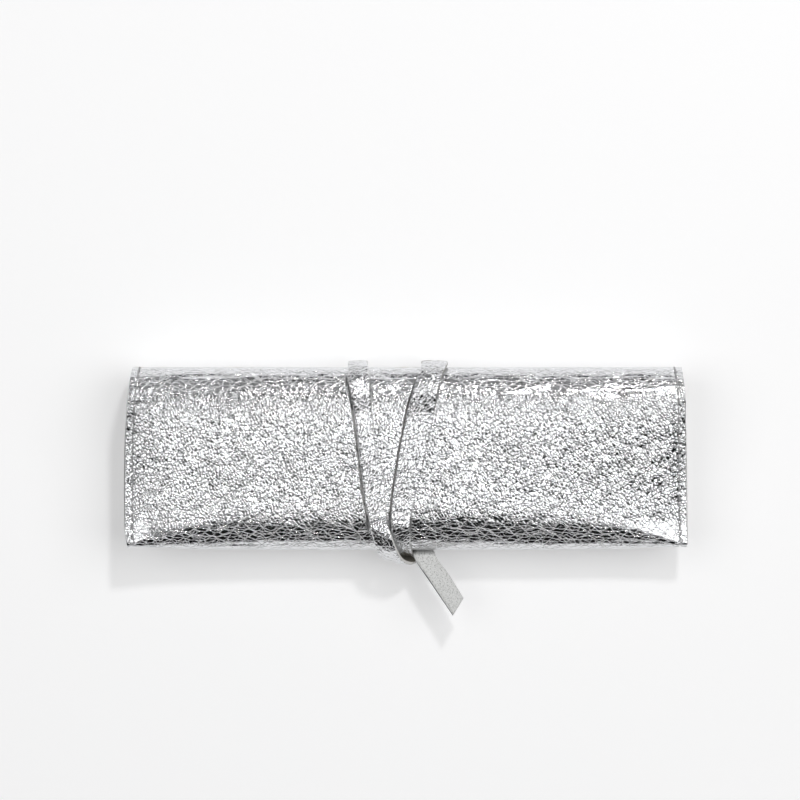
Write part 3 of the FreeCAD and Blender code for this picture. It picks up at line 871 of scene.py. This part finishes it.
# its cut edge is the lighter copy, a painted highlight
# its flesh side deep inside the loop gets painted shade
left = strap("lace_winding_left_strap", P, across, Nn, W, 300.0, 1, wrinkle=wr, edge=EDGE_LOOP_PAINTED_HIGHLIGHT,
             painted_shade_rows=(P[:, 1] < -24.0) & (P[:, 2] < 12.5))
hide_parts("lace_winding_left")
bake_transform(left)

rows_ = (spine_part(R_l, R_r, 0, 82) + top_part(R_l, R_r, top_ys)
         + fold_part([(14, -1.9, 0.0, 6.1), (32, -1.8, 0.0, 6.0), (54, -1.6, 0.0, 6.0), (76, -1.2, 0.2, 6.0), (100, -0.6, 1.35, 6.2),
                      (125, -0.2, 1.6, 6.4), (150, 0.0, 1.5, 6.4)]))
P, across, Nn, W = run(rows_)
right = strap("lace_winding_right_strap", P, across, Nn, W, 420.0, 2)
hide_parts("lace_winding_right")
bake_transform(right)


def under_rows(le, re, x_front, x_spine):
    """From half way round the spine, down and along under the flap to the front."""
    out = []
    for a in (0, -15, -30, -45, -58, -70, -82):
        ar = math.radians(a)
        r = R + LT + G + SLACK * float(smooth(np.array((90 - abs(a)) / 40.0)))
        y, z = YC + r * math.cos(ar), ZC + r * math.sin(ar)
        z = 0.5 * (z + math.sqrt(z * z + 0.3)) if z < 3 else z
        out.append((x_spine, y, z, LW))
    for t in (0.06, 0.3, 0.6, 0.85, 1.0):
        y = YC + (-24.8 - YC) * t
        out.append((x_spine + (x_front - x_spine) * t, y, 0.03, LW))
    return out


xl, xr = 0.5 * (L_l(31.0) + L_r(31.0)), 0.5 * (R_l(31.0) + R_r(31.0))
for name, le, re, x_front, x_spine, seed in (("left", L_l, L_r, -2.6, float(xl), 3), ("right", R_l, R_r, 4.4, float(xr), 4)):
    rows_ = under_rows(le, re, x_front, x_spine)
    rows_[0] = (x_spine, rows_[0][1], rows_[0][2], float(re(31.0) - le(31.0)))
    P, across, Nn, W = run(rows_, 0.4)
    o = strap("lace_under_%s_strap" % name, P, across, Nn, W, 500.0 + 60 * seed, seed)
    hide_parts("lace_under_" + name, "lace_spine_" + name)
    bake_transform(o)

# fixed end, sewn to the inside of the flap's edge
zi = LIFT + LINING + 0.05
P = np.stack([np.full(40, 0.4), np.linspace(-11.0, -24.8, 40), np.full(40, zi + LT)], axis=1)
T, across, Nn = frames(P, np.tile([0, 0, 1.0], (40, 1)))
o = strap("lace_fixed_end_strap", P, across, Nn, np.full(40, LW), 800.0, 5)
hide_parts("lace_fixed_end")
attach(o, "flap")

# working end: up behind the windings, then folded outwards with its flesh side up
tail_l = [(2.1, -30.9), (2.6, -33.2), (8.8, -42.5), (15.2, -51.8)]
tail_r = [(10.0, -30.9), (10.0, -33.2), (14.4, -39.7), (18.7, -46.25)]
tz = [11.15, 11.3, 12.2, 13.2]
mid_rows = []
for (a, b, z) in zip(tail_l, tail_r, tz):
    mid_rows.append(((a[0] + b[0]) / 2, (a[1] + b[1]) / 2, z, (b[0] - a[0]) / 2, (b[1] - a[1]) / 2))
riser = fold_part([(150, 0.4, 0.0, LW), (138, 1.8, 0.0, LW), (126, 3.2, 0.0, LW), (114, 4.7, 0.05, LW), (104, 5.7, 0.35, LW)])
rows_ = [(x, y, z, 3.1, 0.0) for x, y, z, w in riser] + [(mid_rows[0][0], mid_rows[0][1] - 0.5, mid_rows[0][2] - 0.9, 3.6, 0.0)][:0] + mid_rows[1:]
A, _ = resample(rows_, 0.33)
P = A[:, :3]
H = np.stack([A[:, 3], A[:, 4], -0.40 * A[:, 3] * smooth((-A[:, 1] - 33.0) / 6.0)], axis=1)     # its left edge stands up a little
W = 2 * np.linalg.norm(H, axis=1)
T = np.gradient(P, axis=0)
T /= np.linalg.norm(T, axis=1, keepdims=True)
across = H / np.linalg.norm(H, axis=1, keepdims=True)
Nn = np.cross(across, T)
Nn /= np.linalg.norm(Nn, axis=1, keepdims=True)
# the tail's cut edges get painted shade
tail = strap("lace_tail_strap", P, across, Nn, W, 900.0, 6, edge=EDGE_TAIL_PAINTED_SHADE)
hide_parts("lace_tail", "lace_riser")
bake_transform(tail)

# small cross stitches through the fixed end
sv, sf, su = [], [], []
for yy in (-20.6, -13.4):
    for k in (-1, 1):
        base = len(sv)
        for i in range(9):
            t = i / 8
            c = np.array([0.4 + (2 * t - 1) * 1.8, yy + k * (2 * t - 1) * 0.5, zi + LT + 0.12 * math.sin(math.pi * t)])
            for j in range(8):
                f = 2 * math.pi * j / 8
                sv.append(c + np.array([0, 0.28 * math.cos(f), 0.24 * math.sin(f)]))
                su.append((t * 3.6, j / 8))
        for i in range(8):
            for j in range(8):
                j2 = (j + 1) % 8
                sf.append((base + i * 8 + j, base + (i + 1) * 8 + j, base + (i + 1) * 8 + j2, base + i * 8 + j2))
        sf.append(tuple(base + j for j in (0, 1, 2, 3)))
        sf.append(tuple(base + j for j in (0, 3, 4, 7)))
        sf.append(tuple(base + j for j in (4, 5, 6, 7)))
        sf.append(tuple(base + 64 + j for j in (3, 2, 1, 0)))
        sf.append(tuple(base + 64 + j for j in (7, 4, 3, 0)))
        sf.append(tuple(base + 64 + j for j in (7, 6, 5, 4)))
o = mesh_object("fixed_end_cross_stitches", np.array(sv), [np.array(sf)], [THREAD], np.zeros(len(sf)), np.array(su))
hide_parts("fixed_end_stitches")
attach(o, "flap")

# ---------------------------------------------------------------- table, light and camera
def emit_area(name, loc, target, size, power, colour=(1, 1, 1), shape="RECTANGLE"):
    ld = bpy.data.lights.new(name, "AREA")
    ld.shape = shape
    ld.size, ld.size_y = size
    ld.energy = power
    ld.color = colour
    lo = bpy.data.objects.new(name, ld)
    bpy.context.scene.collection.objects.link(lo)
    lo.location = loc
    d = np.array(target, float) - np.array(loc, float)
    from mathutils import Vector
    lo.rotation_euler = Vector(d).to_track_quat("-Z", "Y").to_euler()
    return lo


fv = np.array([(-1.6, -1.6, 0), (1.6, -1.6, 0), (1.6, 1.6, 0), (-1.6, 1.6, 0)], float)
fm = bpy.data.meshes.new("table")
fm.from_pydata([tuple(v) for v in fv], [], [(0, 1, 2, 3)])
floor = bpy.data.objects.new("table", fm)
bpy.context.scene.collection.objects.link(floor)
m, nt, b = nodes_of("pale_table")
b.inputs["Base Color"].default_value = (0.77, 0.77, 0.773, 1)
b.inputs["Emission Color"].default_value = (1, 1, 1, 1)          # a lit table, as for catalogue work
b.inputs["Emission Strength"].default_value = 0.31
b.inputs["Roughness"].default_value = 0.6
b.inputs["Specular IOR Level"].default_value = 0.2
fm.materials.append(m)

w = bpy.data.worlds.new("studio")
w.use_nodes = True
bg = w.node_tree.nodes.get("Background")
bg.inputs[0].default_value = (1, 1, 1, 1)
bg.inputs[1].default_value = 0.014
bpy.context.scene.world = w

cx, cy_ = -0.0021, 0.0191 + 0.009563
# key from the spine side, a little to the right, about 52 degrees up
el, az = math.radians(52), math.atan2(1.0, 0.34)
dist = 1.5
key_at = (math.cos(az) * math.cos(el) * dist, math.sin(az) * math.cos(el) * dist, math.sin(el) * dist)
def panel(name, off_zenith, azimuth, dist, size, radiance):
    """A soft box turned to the case. off_zenith and azimuth (0 is +X, 90 is +Y) in degrees."""
    o, z = math.radians(off_zenith), math.radians(azimuth)
    at = (dist * math.sin(o) * math.cos(z), dist * math.sin(o) * math.sin(z), dist * math.cos(o))
    return emit_area(name, at, (0, 0, 0), size, math.pi * size[0] * size[1] * radiance)


emit_area("key", key_at, (0, 0, 0), (0.14, 0.14), 5.4)
panel("overhead_left", 8, 180, 1.70, (0.75, 0.50), 0.22)
panel("overhead_right", 11, 0, 1.70, (0.80, 0.62), 1.15)
panel("side_left", 35, 168, 1.7, (1.5, 1.25), 1.5)
panel("side_right", 39, 14, 1.7, (1.5, 1.3), 1.95)
panel("back", 50, 90, 1.7, (1.7, 2.0), 0.25)
panel("front", 22, -90, 1.7, (1.5, 0.56), 0.20)

D = 1.45
cam_d = bpy.data.cameras.new("camera")
cam_d.sensor_width = 36.0
cam_d.lens = 36.0 * (D - 0.021) / 0.26144
cam = bpy.data.objects.new("camera", cam_d)
bpy.context.scene.collection.objects.link(cam)
cam.location = (cx, cy_, D)
cam.rotation_euler = (0, 0, 0)
bpy.context.scene.camera = cam
bpy.context.scene.view_settings.view_transform = "Standard"
bpy.context.scene.view_settings.look = "None"
